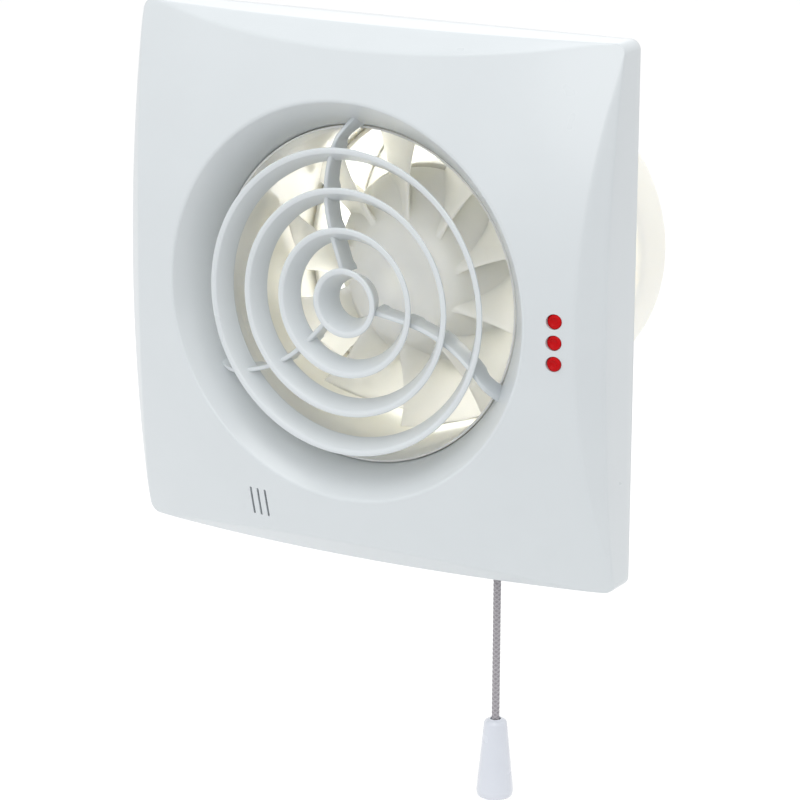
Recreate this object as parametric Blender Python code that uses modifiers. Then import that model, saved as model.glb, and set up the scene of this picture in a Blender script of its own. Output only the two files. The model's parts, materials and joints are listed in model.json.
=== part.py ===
"""Square bathroom extractor fan with a domed front, a ring grille and a pull cord.

Frame: the duct axis runs along Y and meets the wall plane at the origin.
+X is to the right seen from the room, +Y goes into the wall, +Z is up.
The front faces -Y.  Lengths are in metres.
"""
import math

import bmesh
import bpy
from mathutils import Matrix, Vector

MM = 0.001

# Front panel
PANEL_HALF = 0.079          # half of the square front
PANEL_BACK = -0.0012        # rear edge of the side walls
PANEL_WALL = 0.0022         # wall thickness
PANEL_CORNER = 0.003        # radius of the four upright corners
DOME_PEAK = 0.0365          # depth of the dome on the duct axis
DOME_FALL = 2.1             # the dome drops by this times radius squared
RIM_CORNER = 0.011          # depth of the front edge at a corner
RIM_BULGE = 0.008           # what the middle of a side stands further out
LIP_RADIUS = 0.0585         # edge of the round recess
THROAT_RADIUS = 0.050       # narrow end of the recess
THROAT_BACK = -0.011        # where the recess ends

# Grille
RING_RADII = (0.0102, 0.0220, 0.0335, 0.0450)
RING_FRONT = -0.0287
SPOKE_ANGLES = (104.3, 222.3, 346.0)   # where each spoke is 30 mm out

# Duct
TUBE_OUTER = 0.0495         # fits a 100 mm duct
TUBE_INNER = 0.0477
TUBE_FRONT = -0.0165
TUBE_BACK = 0.080

# Base tray
TRAY_HALF = 0.0754
TRAY_FLOOR = 0.0024
TRAY_RIM = -0.008
WALL_SCREW_OFFSET = 0.064

# Impeller and motor
BLADES = 10
BLADE_TIP = 0.0463
HUB_FRONT = 0.0009
MOTOR_RADIUS = 0.0266
CUP_RADIUS = 0.0317

# Indicator lights
PIP_X = 0.0668
PIP_Z = (0.0029, -0.00315, -0.0092)
PIP_RADIUS = 0.0021

# Pull switch and cord
CORD_X = 0.041
CORD_Y = -0.010
CORD_TOP = -0.0765
CORD_RADIUS = 0.00115
HANDLE_TOP = -0.1236
HANDLE_BOTTOM = -0.1479

# Backdraft flaps
FLAP_PIN_Y = 0.068
FLAP_RADIUS = 0.044


def mm(*values):
    """Millimetres to metres, for one number or several."""
    if len(values) == 1:
        return values[0] * MM
    return tuple(v * MM for v in values)


# ---------------------------------------------------------------- scene set-up
for old in list(bpy.data.objects):
    bpy.data.objects.remove(old, do_unlink=True)
for old_mesh in list(bpy.data.meshes):
    bpy.data.meshes.remove(old_mesh)

PARTS = bpy.data.collections.new("bathroom_extractor_fan")
bpy.context.scene.collection.children.link(PARTS)


def material(name, colour, roughness=0.45, metallic=0.0, alpha=1.0):
    mat = bpy.data.materials.new(name)
    mat.use_nodes = True
    shader = mat.node_tree.nodes["Principled BSDF"]
    shader.inputs["Base Color"].default_value = (*colour, 1.0)
    shader.inputs["Roughness"].default_value = roughness
    shader.inputs["Metallic"].default_value = metallic
    shader.inputs["Alpha"].default_value = alpha
    return mat


# -------------------------------------------------------------- shape helpers
def add_mesh(name, bm):
    """Make an object from a bmesh, with its faces pointing out."""
    bmesh.ops.remove_doubles(bm, verts=bm.verts, dist=1e-7)
    bmesh.ops.recalc_face_normals(bm, faces=bm.faces)
    mesh = bpy.data.meshes.new(name)
    bm.to_mesh(mesh)
    bm.free()
    obj = bpy.data.objects.new(name, mesh)
    PARTS.objects.link(obj)
    return obj


def bake(obj):
    """Replace an object's mesh by its evaluated mesh, in place."""
    bpy.context.view_layer.update()
    graph = bpy.context.evaluated_depsgraph_get()
    mesh = bpy.data.meshes.new_from_object(obj.evaluated_get(graph))
    bm = bmesh.new()
    bm.from_mesh(mesh)
    bmesh.ops.transform(bm, matrix=obj.matrix_world, verts=bm.verts)
    bmesh.ops.remove_doubles(bm, verts=bm.verts, dist=2e-6)
    bmesh.ops.dissolve_degenerate(bm, edges=bm.edges, dist=1e-6)
    bmesh.ops.recalc_face_normals(bm, faces=bm.faces)
    bm.to_mesh(mesh)
    bm.free()
    name = obj.name
    bpy.data.objects.remove(obj, do_unlink=True)
    result = bpy.data.objects.new(name, mesh)
    PARTS.objects.link(result)
    return result


def boolean(target, tools, operation):
    """Combine closed solids with the exact solver and drop the tools."""
    for tool in tools:
        mod = target.modifiers.new(operation.title(), "BOOLEAN")
        mod.operation = operation
        mod.solver = "EXACT"
        mod.object = tool
        target = bake(target)
        bpy.data.objects.remove(tool, do_unlink=True)
    return target


def cut(target, *tools):
    return boolean(target, tools, "DIFFERENCE")


def join(target, *tools):
    return boolean(target, tools, "UNION")


def common(target, *tools):
    return boolean(target, tools, "INTERSECT")


def box(name, low, high, bevel=0.0, segments=2):
    """Cube primitive between two corners, with an optional Bevel."""
    bm = bmesh.new()
    bmesh.ops.create_cube(bm, size=1.0)
    size = [h - l for l, h in zip(low, high)]
    centre = [(h + l) / 2 for l, h in zip(low, high)]
    bmesh.ops.scale(bm, vec=size, verts=bm.verts)
    bmesh.ops.translate(bm, vec=centre, verts=bm.verts)
    obj = add_mesh(name, bm)
    if bevel > 0.0:
        mod = obj.modifiers.new("Bevel", "BEVEL")
        mod.width = bevel
        mod.segments = segments
        obj = bake(obj)
    return obj


AXIS_TURN = {
    "X": Matrix.Rotation(math.pi / 2, 4, "Y"),
    "Y": Matrix.Rotation(-math.pi / 2, 4, "X"),
    "Z": Matrix.Identity(4),
}


def cylinder(name, centre, radius, low, high, axis="Y", segments=24, radius_high=None):
    """Cylinder primitive along an axis; low and high are along that axis."""
    top = radius if radius_high is None else radius_high
    bm = bmesh.new()
    bmesh.ops.create_cone(bm, cap_ends=True, segments=segments, radius1=radius,
                          radius2=top, depth=high - low)
    bmesh.ops.rotate(bm, matrix=AXIS_TURN[axis].to_3x3(), verts=bm.verts)
    place = list(centre)
    place["XYZ".index(axis)] = (low + high) / 2
    bmesh.ops.translate(bm, vec=place, verts=bm.verts)
    return add_mesh(name, bm)


def turned(name, profile, axis="Y", centre=(0.0, 0.0, 0.0), steps=48):
    """Closed (radius, along) profile swept round an axis by a Screw modifier."""
    along = Vector((0.0, 1.0, 0.0)) if axis == "Y" else Vector((0.0, 0.0, 1.0))
    bm = bmesh.new()
    verts = [bm.verts.new(Vector((r, 0.0, 0.0)) + along * a) for r, a in profile]
    count = len(verts)
    for i in range(count):
        if profile[i][0] < 1e-9 and profile[(i + 1) % count][0] < 1e-9:
            continue
        bm.edges.new((verts[i], verts[(i + 1) % count]))
    mesh = bpy.data.meshes.new(name)
    bm.to_mesh(mesh)
    bm.free()
    obj = bpy.data.objects.new(name, mesh)
    PARTS.objects.link(obj)
    obj.location = centre
    mod = obj.modifiers.new("Screw", "SCREW")
    mod.axis = axis
    mod.steps = steps
    mod.render_steps = steps
    mod.use_merge_vertices = True
    mod.merge_threshold = 1e-6
    return bake(obj)


def rounded_square(half, radius, segments=5):
    """Outline in the XZ plane of a square with round corners."""
    points = []
    inner = half - radius
    for k, (sx, sz) in enumerate(((1, 1), (-1, 1), (-1, -1), (1, -1))):
        for i in range(segments + 1):
            angle = math.radians(90.0 * (k + i / segments))
            points.append((sx * inner + radius * math.cos(angle),
                           sz * inner + radius * math.sin(angle)))
    return points


def prism(name, outline, low, high, axis="Y"):
    """Flat outline extruded along an axis between two positions."""
    bm = bmesh.new()
    if axis == "Y":
        verts = [bm.verts.new((u, low, v)) for u, v in outline]
    else:
        verts = [bm.verts.new((u, v, low)) for u, v in outline]
    face = bm.faces.new(verts)
    grown = bmesh.ops.extrude_face_region(bm, geom=[face])
    moved = [g for g in grown["geom"] if isinstance(g, bmesh.types.BMVert)]
    step = (0.0, high - low, 0.0) if axis == "Y" else (0.0, 0.0, high - low)
    bmesh.ops.translate(bm, vec=step, verts=moved)
    return add_mesh(name, bm)


def loft(name, sections):
    """Skin through equal-length closed sections, with flat end caps."""
    bm = bmesh.new()
    rows = [[bm.verts.new(p) for p in section] for section in sections]
    count = len(rows[0])
    for first, second in zip(rows, rows[1:]):
        for i in range(count):
            j = (i + 1) % count
            bm.faces.new((first[i], first[j], second[j], second[i]))
    bm.faces.new(rows[0])
    bm.faces.new(list(reversed(rows[-1])))
    return add_mesh(name, bm)


def wire(name, points, radius, resolution=2):
    """Round wire along a poly line, as a bevelled curve with filled caps."""
    data = bpy.data.curves.new(name, "CURVE")
    data.dimensions = "3D"
    data.bevel_depth = radius
    data.bevel_resolution = resolution
    data.use_fill_caps = True
    spline = data.splines.new("POLY")
    spline.points.add(len(points) - 1)
    for point, place in zip(spline.points, points):
        point.co = (*place, 1.0)
    obj = bpy.data.objects.new(name, data)
    PARTS.objects.link(obj)
    return bake(obj)


def polar(radius, degrees, y):
    angle = math.radians(degrees)
    return Vector((radius * math.cos(angle), y, radius * math.sin(angle)))


# ---------------------------------------------------------------- front cover
def dome_depth(radius):
    return DOME_PEAK - DOME_FALL * radius * radius


def rim_depth(along):
    return RIM_CORNER + RIM_BULGE * (1.0 - (along / PANEL_HALF) ** 2)


def facet_cutter(side, shift):
    """Solid in front of one 45 degree edge facet; side counts quarter turns."""
    sections = []
    steps = 24
    reach = PANEL_HALF + mm(6)
    for i in range(steps + 1):
        along = reach * (2.0 * i / steps - 1.0)
        rim = rim_depth(along) - shift
        outer = PANEL_HALF + mm(6)
        inner = PANEL_HALF - mm(14)
        sections.append([
            Vector((outer, -(rim - mm(6)), along)),
            Vector((inner, -(rim + mm(14)), along)),
            Vector((inner, -mm(60), along)),
            Vector((outer, -mm(60), along)),
        ])
    turn = Matrix.Rotation(math.radians(90.0 * side), 3, "Y")
    return loft("facet", [[turn @ p for p in section] for section in sections])


def make_front_cover():
    bell = [mm(50.0, 12.5), mm(50.6, 15.4), mm(52.4, 20.0), mm(55.0, 25.0), mm(57.3, 28.3)]
    dome = [(r, dome_depth(r)) for r in [LIP_RADIUS + mm(d) for d in (0, 5, 12, 20, 30, 41, 56)]]
    outer = [(THROAT_RADIUS, -mm(3))] + bell + dome + [(dome[-1][0], -mm(3))]
    shell = turned("front_cover", [(r, -d) for r, d in outer], steps=64)
    square = prism("square", rounded_square(PANEL_HALF, PANEL_CORNER), -mm(48), PANEL_BACK)
    shell = common(shell, square)
    shell = cut(shell, *[facet_cutter(side, 0.0) for side in range(4)])

    back_bell = [mm(49.0, 11.0), mm(52.1, 11.0), mm(52.7, 14.6), mm(54.6, 19.6),
                 mm(58.0, 25.2)]
    radii = [mm(r) for r in (60.6, 69, 79, 94, 112)]
    inside = [(r, dome_depth(r) - PANEL_WALL - mm(0.1)) for r in radii]
    hollow_profile = [(mm(49.0), -mm(6))] + back_bell + inside + [(radii[-1], -mm(6))]
    hollow = turned("hollow", [(r, -d) for r, d in hollow_profile], steps=44)
    inner_square = rounded_square(PANEL_HALF - PANEL_WALL, mm(1.2), 2)
    hollow = common(hollow, prism("square", inner_square, -mm(48), mm(5)))
    shift = PANEL_WALL * math.sqrt(2.0)
    hollow = cut(hollow, *[facet_cutter(side, shift) for side in range(4)])
    shell = cut(shell, hollow)

    shell = join(shell, *grille_pieces())

    for z in PIP_Z:
        shell = cut(shell, cylinder("hole", (PIP_X, 0, z), PIP_RADIUS + mm(0.15), -mm(35), -mm(15),
                                   segments=16))
    for x in (-33.0, -30.4, -27.7):
        shell = cut(shell, box("slot", mm(x - 0.38, -35, -68.9), mm(x + 0.38, -15, -60.1)))
    notch = box("notch", (CORD_X - mm(2.8), -mm(12.8), -mm(81)), (CORD_X + mm(2.8), mm(2), -mm(75)))
    shell = cut(shell, notch)

    wall_in = PANEL_HALF - PANEL_WALL
    low, high = wall_in - mm(0.9), wall_in + mm(0.4)
    ribs = [box("rib", (-mm(9), -mm(5.2), low), (mm(9), -mm(3.6), high)),
            box("rib", (-mm(9), -mm(5.2), -high), (mm(9), -mm(3.6), -low)),
            box("rib", (low, -mm(5.2), -mm(9)), (high, -mm(3.6), mm(9))),
            box("rib", (-high, -mm(5.2), -mm(9)), (-low, -mm(3.6), mm(9)))]
    return join(shell, *ribs)


def spoke(base_angle):
    """Curved blade behind the rings; its foot slopes back and flares on the recess wall."""
    stations = [
        mm(r, -26.2, r, -19.2, 0.0) for r in (8.0, 14, 20, 26, 32, 38, 43.5, 46.5)
    ] + [mm(49.6, -23.6, 48.8, -17.9, 0.7), mm(53.4, -20.5, 51.4, -16.9, 2.4)]
    half = mm(0.75)
    sections = []
    for r_front, front, r_back, back, flare in stations:
        section = []
        for r, y, left, right in ((r_front, front, half, half), (r_back, back, half, half + flare)):
            u = (r - mm(30.0)) / mm(20.0)
            centre = base_angle - 7.35 * u - 5.74 * u * u + 1.77 * u ** 3
            section.append((polar(r, centre + math.degrees(left / r), y),
                            polar(r, centre - math.degrees(right / r), y)))
        sections.append([section[0][0], section[1][0], section[1][1], section[0][1]])
    return loft("spoke", sections)


def grille_pieces():
    """Four conical rings and the three spokes that carry them."""
    pieces = []
    for i, radius in enumerate(RING_RADII):
        deep = mm(8.2) if i == 0 else mm(5.8)
        lean = mm(3.0) if i == 0 else mm(3.2)
        f = RING_FRONT
        profile = [
            (radius, f + mm(0.6)), (radius - mm(0.6), f), (radius - mm(1.7), f + mm(0.2)),
            (radius - lean - mm(1.5), f + deep - mm(0.2)), (radius - lean - mm(0.2), f + deep),
        ]
        pieces.append(turned("ring", profile, steps=(24, 32, 44, 52)[i]))
    pieces += [spoke(angle) for angle in SPOKE_ANGLES]
    return pieces


def make_light_guide():
    plate = box("light_guide", mm(64.2, -23.5, -12.2), mm(69.0, -22.1, 5.9), bevel=mm(0.4), segments=1)
    pips = [cylinder("pip", (PIP_X, 0, z), PIP_RADIUS, -mm(26.85), -mm(22.8), segments=16)
            for z in PIP_Z]
    return join(plate, *pips)


# ------------------------------------------------------------ base and duct
def make_base_tray():
    outer = prism("base_tray", rounded_square(TRAY_HALF, mm(2.5), 3), TRAY_RIM, 0.0)
    inner = prism("well", rounded_square(TRAY_HALF - mm(1.8), mm(1.5), 3), -mm(12), -TRAY_FLOOR)
    tray = cut(outer, inner)
    tray = cut(tray, cylinder("hole", (0, 0, 0), mm(50.1), -mm(6), mm(3), segments=48))
    s = WALL_SCREW_OFFSET
    for x, z in ((s, s), (-s, s), (-s, -s), (s, -s)):
        tray = cut(tray, cylinder("hole", (x, 0, z), mm(2.4), -mm(6), mm(3), segments=16))
    tray = cut(tray, cylinder("hole", mm(-66, 0, -28), mm(5.2), -mm(6), mm(3)))
    tray = cut(tray, box("notch", mm(36.5, -9, -77), mm(45.5, -4.5, -72)))
    posts = [(69.0, -10.5), (69.0, 40.0), (40.0, 69.0)]
    for x, z in posts:
        tray = join(tray, cylinder("post", mm(x, 0, z), mm(2.2), -mm(6.1), -mm(1.2), segments=16))
    for x in (-70.2, -62.2):
        post = cylinder("post", mm(x, 0, -9), mm(2.3), -mm(5.0), -mm(1.2), segments=16)
        tray = join(tray, post)
        tray = cut(tray, cylinder("hole", mm(x, 0, -9), mm(1.35), -mm(6), -mm(1.6), segments=12))
    return tray


def make_duct_tube():
    profile = [
        (TUBE_INNER, TUBE_FRONT), (TUBE_INNER, TUBE_BACK),
        (TUBE_OUTER - mm(0.5), TUBE_BACK), (TUBE_OUTER, TUBE_BACK - mm(0.8)),
        (TUBE_OUTER, -mm(2.8)), (mm(57), -mm(2.8)), (mm(57), -mm(4.6)),
        (TUBE_OUTER, -mm(4.6)), (TUBE_OUTER, TUBE_FRONT),
    ]
    return turned("duct_tube", profile, steps=56)


def make_motor_bracket():
    """Motor cup on five swirl vanes inside a band that sits in the duct."""
    r_in, r_out = CUP_RADIUS - mm(1.8), CUP_RADIUS
    cup = turned("motor_bracket", [
        (mm(5), mm(54.0)), (r_out - mm(1), mm(54.0)), (r_out, mm(53.0)), (r_out, mm(24.0)),
        (r_in, mm(24.0)), (r_in, mm(52.4)), (mm(5), mm(52.4))], steps=32)
    band = turned("band", [
        (mm(47.3), mm(32)), (mm(47.3), mm(50)), (mm(46.0), mm(50)), (mm(46.0), mm(32))], steps=44)
    vanes = []
    for k in range(5):
        base = 18.0 + 72.0 * k
        sections = []
        for i in range(4):
            y = mm(33.0 + 16.0 * i / 3)
            angle = base + 14.0 * math.sin(math.radians(90.0 * i / 3)) - 14.0
            rows = []
            for r, side in ((mm(31.1), -1), (mm(46.6), -1), (mm(46.6), 1), (mm(31.1), 1)):
                rows.append(polar(r, angle + side * math.degrees(mm(0.9) / r), y))
            sections.append(rows)
        vanes.append(loft("vane", sections))
    bracket = join(cup, *vanes)
    bracket = join(bracket, band)
    for k in range(3):
        place = polar(mm(18), 90.0 + 120.0 * k, 0.0)
        bracket = cut(bracket, cylinder("hole", place, mm(1.6), mm(50), mm(56), segments=12))
    return bracket


# -------------------------------------------------------------------- motor
def make_motor():
    can = turned("motor_can", [
        (mm(7.2), mm(45.8)), (mm(5.8), mm(45.8)), (mm(5.8), mm(50.8)), (mm(3.2), mm(50.8)),
        (mm(3.2), mm(52.0)), (MOTOR_RADIUS - mm(1), mm(52.0)), (MOTOR_RADIUS, mm(51.0)),
        (MOTOR_RADIUS, mm(25.2)), (MOTOR_RADIUS - mm(1.2), mm(25.2)),
        (MOTOR_RADIUS - mm(1.2), mm(50.8)), (mm(7.2), mm(50.8))], steps=24)
    for k in range(3):
        place = polar(mm(18), 90.0 + 120.0 * k, 0.0)
        can = cut(can, cylinder("hole", place, mm(1.5), mm(50), mm(54), segments=12))
    cap = turned("motor_cap", [
        (mm(2.6), mm(22.6)), (mm(2.6), mm(24.9)), (mm(5.8), mm(24.9)), (mm(5.8), mm(29.6)),
        (mm(7.2), mm(29.6)), (mm(7.2), mm(24.9)), (MOTOR_RADIUS, mm(24.9)),
        (MOTOR_RADIUS, mm(23.4)), (MOTOR_RADIUS - mm(0.8), mm(22.6))], steps=24)
    core = turned("stator_core", [
        (mm(15.0), mm(33.0)), (mm(25.1), mm(33.0)), (mm(25.1), mm(42.0)), (mm(15.0), mm(42.0))],
        steps=28)
    for k in range(6):
        place = polar(mm(18.6), 60.0 * k, 0.0)
        core = cut(core, cylinder("slot", place, mm(2.2), mm(30), mm(45), segments=8))
    coils = []
    for name, low, high in (("coil_front", 30.2, 32.7), ("coil_rear", 42.3, 45.3)):
        coils.append(turned(name, [
            (mm(16.5), mm(low + 0.8)), (mm(17.3), mm(low)), (mm(23.4), mm(low)),
            (mm(24.2), mm(low + 0.8)), (mm(24.2), mm(high)), (mm(16.5), mm(high))], steps=20))
    bearings = []
    for name, low in (("bearing_front", 25.2), ("bearing_rear", 46.4)):
        bearings.append(turned(name, [
            (mm(2.3), mm(low)), (mm(5.5), mm(low)), (mm(5.5), mm(low + 4.0)),
            (mm(2.3), mm(low + 4.0))], steps=16))
    screws = []
    for k in range(3):
        place = polar(mm(18), 90.0 + 120.0 * k, 0.0)
        head = cylinder("motor_screw_%d" % (k + 1), place, mm(2.6), mm(54.3), mm(56.2), segments=16)
        screws.append(join(head, cylinder("shank", place, mm(1.2), mm(51.0), mm(55.0), segments=12)))
    shaft = turned("motor_shaft", [
        (0.0, mm(7.6)), (mm(1.5), mm(7.6)), (mm(2.0), mm(8.2)), (mm(2.0), mm(50.2)),
        (mm(1.6), mm(50.6)), (0.0, mm(50.6))], steps=20)
    rotor = turned("rotor_core", [
        (mm(2.05), mm(33.0)), (mm(14.5), mm(33.0)), (mm(14.5), mm(42.0)), (mm(2.05), mm(42.0))],
        steps=24)
    clip = turned("impeller_clip", [
        (mm(2.15), mm(20.8)), (mm(4.4), mm(20.8)), (mm(4.4), mm(21.6)), (mm(2.15), mm(21.6))],
        steps=16)
    return [can, cap, core] + coils + bearings + screws, [shaft, rotor, clip]


# ----------------------------------------------------------------- impeller
def hub_line(s):
    """Point on the flared hub under a blade, as (radius, y); s runs to the back."""
    return mm(18.0) + mm(12.2) * s, mm(5.2) + mm(16.2) * s


def blade(leading_angle):
    """One mixed-flow blade, lofted from the hub out to the tip."""
    chord, spans = 4, (-0.03, 0.3, 0.65, 1.0)
    sections = []
    for t in spans:
        upper, lower = [], []
        for i in range(chord + 1):
            s = i / chord
            hub_r, hub_y = hub_line(s)
            r = (1.0 - t) * hub_r + t * BLADE_TIP
            y = (1.0 - t) * hub_y + t * (mm(10.2) + mm(15.8) * s)
            sweep = 30.0 * s + 2.6 * math.sin(math.pi * max(t, 0.0)) * (1.0 - s)
            half = (mm(0.95) - mm(0.3) * t) * (0.45 + 0.55 * math.sin(math.pi * s))
            angle = leading_angle + sweep
            upper.append(polar(r, angle + math.degrees(half / r), y))
            lower.append(polar(r, angle - math.degrees(half / r), y))
        sections.append(upper + lower[::-1])
    return loft("blade", sections)


def make_impeller():
    outer = [mm(0, 0.9), mm(5.5, 1.1), mm(10, 1.8), mm(14, 2.9), mm(17.2, 4.3), mm(19.4, 6.2),
             mm(25.2, 14.0), mm(30.8, 21.8)]
    inner = [mm(29.0, 21.8), mm(23.6, 14.3), mm(18.4, 7.8), mm(16.2, 6.2), mm(13.2, 4.8),
             mm(9.5, 3.7), mm(5.4, 3.1)]
    boss = [mm(5.4, 20.5), mm(2.05, 20.5), mm(2.05, 7.2), mm(0, 7.2)]
    hub = turned("impeller", outer + inner + boss, steps=36)
    return join(hub, *[blade(86.0 + 360.0 * k / BLADES) for k in range(BLADES)])


# ------------------------------------------------------------ backdraft flaps
def half_disc(side):
    """Outline of one flap in the XZ plane; side is +1 for the right flap."""
    edge = mm(3.0)
    start = math.degrees(math.asin(edge / FLAP_RADIUS))
    points = []
    steps = 16
    for i in range(steps + 1):
        angle = math.radians(-90.0 + start + (180.0 - 2.0 * start) * i / steps)
        points.append((side * FLAP_RADIUS * math.cos(angle), FLAP_RADIUS * math.sin(angle)))
    return points


def make_flap(name, side, knuckles):
    plate = prism(name, half_disc(side), mm(66.4), mm(67.6))
    for low, high in knuckles:
        arm_low, arm_high = sorted((side * mm(1.7), side * mm(5.0)))
        arm = box("arm", (arm_low, mm(66.7), mm(low)), (arm_high, mm(69.0), mm(high)))
        barrel = cylinder("barrel", (0, FLAP_PIN_Y, 0), mm(2.4), mm(low), mm(high), axis="Z",
                          segments=20)
        plate = join(plate, arm, barrel)
    bore = cylinder("bore", (0, FLAP_PIN_Y, 0), mm(1.3), -mm(46), mm(46), axis="Z", segments=16)
    return cut(plate, bore)


def make_flap_frame():
    ring = turned("flap_frame", [
        (mm(47.3), mm(62)), (mm(47.3), mm(66)), (mm(43.0), mm(66)), (mm(43.0), mm(63)),
        (mm(44.0), mm(62))], steps=48)
    bar = box("bar", mm(-4.5, 62.4, -44.5), mm(4.5, 64.6, 44.5))
    frame = join(ring, bar)
    for low, high in ((44.5, 46.4), (-46.4, -44.5)):
        frame = join(frame, box("lug", mm(-4, 64.0, low), mm(4, 71.0, high)))
    bore = cylinder("bore", (0, FLAP_PIN_Y, 0), mm(1.2), -mm(50), mm(50), axis="Z", segments=16)
    return cut(frame, bore)


def make_flap_spring():
    """Torsion coil round the pin, its legs running forward beside the cross bar."""
    coil_r, turns, per_turn = mm(1.75), 6, 10
    low, high = -mm(5.0), mm(5.0)
    count = turns * per_turn
    points = [(-coil_r, mm(65.4), low)]
    for i in range(count + 1):
        angle = math.pi + 2.0 * math.pi * i / per_turn * (1.0 + 0.5 / turns)
        points.append((coil_r * math.cos(angle), FLAP_PIN_Y - coil_r * math.sin(angle) * 0.999,
                       low + (high - low) * i / count))
    points.append((points[-1][0], mm(65.4), high))
    return wire("flap_spring", points, mm(0.22), resolution=0)


# ---------------------------------------------------------------- electronics
def make_circuit_board():
    outline = []
    for i in range(19):
        angle = math.radians(-14.0 + 77.0 * i / 18)
        outline.append((mm(59.5) * math.cos(angle), mm(59.5) * math.sin(angle)))
    outline += [mm(27.0, 72.5), mm(47.5, 72.5), mm(72.5, 47.5), mm(72.5, -14.4)]
    return prism("circuit_board", outline, -mm(8.0), -mm(6.4))


def make_led(name, z):
    profile = [mm(0, -21.6), mm(0.9, -21.3), mm(1.5, -20.4), mm(1.5, -17.2), mm(1.85, -17.2),
               mm(1.85, -16.2), mm(0.9, -16.2), mm(0.9, -8.3), mm(0, -8.3)]
    return turned(name, profile, centre=(PIP_X, 0, z), steps=10)


def make_trimmer(name, x, z):
    """Square potentiometer body with a loose slotted dial in front of it."""
    body = box(name + "_pot", mm(x - 3.3, -12.6, z - 3.3), mm(x + 3.3, -8.3, z + 3.3),
               bevel=mm(0.4), segments=1)
    dial = cylinder(name + "_dial", mm(x, 0, z), mm(2.5), -mm(14.4), -mm(12.9), segments=24)
    dial = cut(dial, box("slot", mm(x - 0.4, -15.0, z - 1.9), mm(x + 0.4, -13.7, z + 1.9)))
    return body, dial


def make_electronics():
    parts = [make_circuit_board()]
    parts.append(box("relay", mm(47.0, -18.2, 44.6), mm(58.4, -8.3, 56.0), bevel=mm(0.6)))
    parts.append(turned("capacitor", [
        mm(0, -18.3), mm(4.0, -18.3), mm(4.6, -17.7), mm(4.6, -8.9), mm(4.1, -8.3), mm(0, -8.3)],
        centre=mm(65.8, 0, 30.0), steps=24))
    for name, z in zip(("led_upper", "led_middle", "led_lower"), PIP_Z):
        parts.append(make_led(name, z))
    timer_pot, timer_dial = make_trimmer("timer", 32.0, 66.0)
    humidity_pot, humidity_dial = make_trimmer("humidity", 42.5, 66.0)
    parts += [timer_pot, humidity_pot]

    sensor = box("humidity_sensor", mm(-36.6, -19.8, -70.2), mm(-24.6, -15.4, -59.6),
                 bevel=mm(0.6), segments=1)
    for x in (-33.0, -30.4, -27.7):
        sensor = cut(sensor, box("vent", mm(x - 0.5, -21, -68), mm(x + 0.5, -18.4, -62)))
    stem = box("stem", mm(-33.6, -16.0, -67.6), mm(-27.6, -2.7, -62.6))
    parts.append(join(sensor, stem))

    block = box("terminal_block", mm(-72.0, -14.0, 8.0), mm(-61.4, -2.7, 34.0), bevel=mm(0.5),
                segments=1)
    for z in (12.6, 21.0, 29.4):
        block = cut(block, cylinder("well", mm(-66.7, 0, z), mm(2.1), -mm(15), -mm(9.2), segments=16))
        block = cut(block, cylinder("entry", mm(0, -5.6, z), mm(1.7), -mm(65), -mm(60), axis="X",
                                    segments=12))
    parts.append(block)
    for k, z in enumerate((12.6, 21.0, 29.4)):
        screw = cylinder("terminal_screw_%d" % (k + 1), mm(-66.7, 0, z), mm(1.75), -mm(13.2),
                         -mm(9.5), segments=16)
        screw = cut(screw, box("slot", mm(-68.2, -14, z - 0.3), mm(-65.2, -12.6, z + 0.3)))
        parts.append(screw)

    clamp = box("cable_clamp", mm(-72.8, -8.0, -11.4), mm(-59.6, -5.3, -6.6), bevel=mm(0.5),
                segments=1)
    for x in (-70.2, -62.2):
        clamp = cut(clamp, cylinder("hole", mm(x, 0, -9), mm(1.4), -mm(9), -mm(4), segments=12))
    parts.append(clamp)
    for k, x in enumerate((-70.2, -62.2)):
        head = cylinder("clamp_screw_%d" % (k + 1), mm(x, 0, -9), mm(2.1), -mm(9.8), -mm(8.3),
                        segments=16)
        parts.append(join(head, cylinder("shank", mm(x, 0, -9), mm(1.05), -mm(9.0), -mm(2.9),
                                         segments=12)))
    parts.append(turned("cable_grommet", [
        mm(3.2, -4.2), mm(6.4, -4.2), mm(6.4, -2.7), mm(4.9, -2.7), mm(4.9, -0.4), mm(3.2, -0.4)],
        centre=mm(-66, 0, -28), steps=16))
    return parts, [timer_dial, humidity_dial]


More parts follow.
